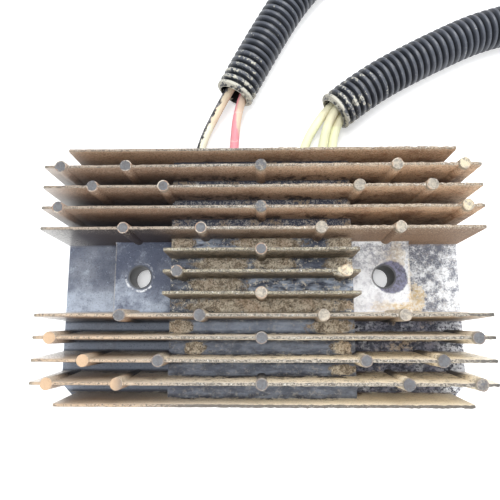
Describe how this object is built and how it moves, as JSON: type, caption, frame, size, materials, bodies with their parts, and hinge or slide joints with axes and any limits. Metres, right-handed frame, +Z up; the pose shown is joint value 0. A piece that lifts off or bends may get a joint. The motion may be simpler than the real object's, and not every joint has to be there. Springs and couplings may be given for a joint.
{
  "type": "voltage regulator rectifier",
  "caption": "Finned die-cast regulator and rectifier, potted at the back, bolted down through two bays, with wires in corrugated looms to sealed plugs.",
  "frame": {"origin": "centre of the flat back face, on the surface it rests on", "axes": "+X along the fins, +Y towards the side where the wires leave, +Z up through the fins"},
  "size_m": [0.2504, 0.1896, 0.0271],
  "materials": {
    "coated_aluminium": "dark oxide coating, corroded and caked with dirt",
    "epoxy": "cast epoxy, satin",
    "alumina": "matt white ceramic",
    "copper": "bare copper",
    "chip_plastic": "moulded epoxy package",
    "board": "green glass-epoxy board",
    "tinned_pin": "tinned brass",
    "white_insulation": "cream insulation, stained",
    "red_insulation": "red insulation",
    "yellow_insulation": "faded yellow insulation",
    "loom_plastic": "black corrugated polyethylene",
    "plug_plastic": "black moulded nylon",
    "seal_rubber": "orange silicone rubber"
  },
  "bodies": {
    "root": {"ac_loom": "loom_plastic", "ac_plug_contact_1": "tinned_pin", "ac_plug_contact_2": "tinned_pin", "ac_plug_contact_3": "tinned_pin", "ac_plug_housing": "plug_plastic", "ac_plug_ring_seal": "seal_rubber", "ac_plug_wire_seal_1": "seal_rubber", "ac_plug_wire_seal_2": "seal_rubber", "ac_plug_wire_seal_3": "seal_rubber", "circuit_substrate": "alumina", "control_board": "board", "control_board_pins": "tinned_pin", "control_chip": "chip_plastic", "dc_loom": "loom_plastic", "dc_plug_contact_1": "tinned_pin", "dc_plug_contact_2": "tinned_pin", "dc_plug_housing": "plug_plastic", "dc_plug_ring_seal": "seal_rubber", "dc_plug_wire_seal_1": "seal_rubber", "dc_plug_wire_seal_2": "seal_rubber", "ground_busbar": "copper", "ground_terminal": "copper", "ground_wire": "white_insulation", "heat_sink": "coated_aluminium", "lower_diode_1": "chip_plastic", "lower_diode_2": "chip_plastic", "lower_diode_3": "chip_plastic", "phase_terminal_1": "copper", "phase_terminal_2": "copper", "phase_terminal_3": "copper", "phase_track_1": "copper", "phase_track_2": "copper", "phase_track_3": "copper", "phase_wire_1": "yellow_insulation", "phase_wire_2": "yellow_insulation", "phase_wire_3": "yellow_insulation", "positive_busbar": "copper", "positive_terminal": "copper", "positive_wire": "red_insulation", "potting_resin": "epoxy", "reference_diode": "chip_plastic", "sense_resistors": "chip_plastic", "smoothing_capacitor": "chip_plastic", "thyristor_1": "chip_plastic", "thyristor_2": "chip_plastic", "thyristor_3": "chip_plastic", "upper_diode_1": "chip_plastic", "upper_diode_2": "chip_plastic", "upper_diode_3": "chip_plastic"}
  },
  "joints": []
}
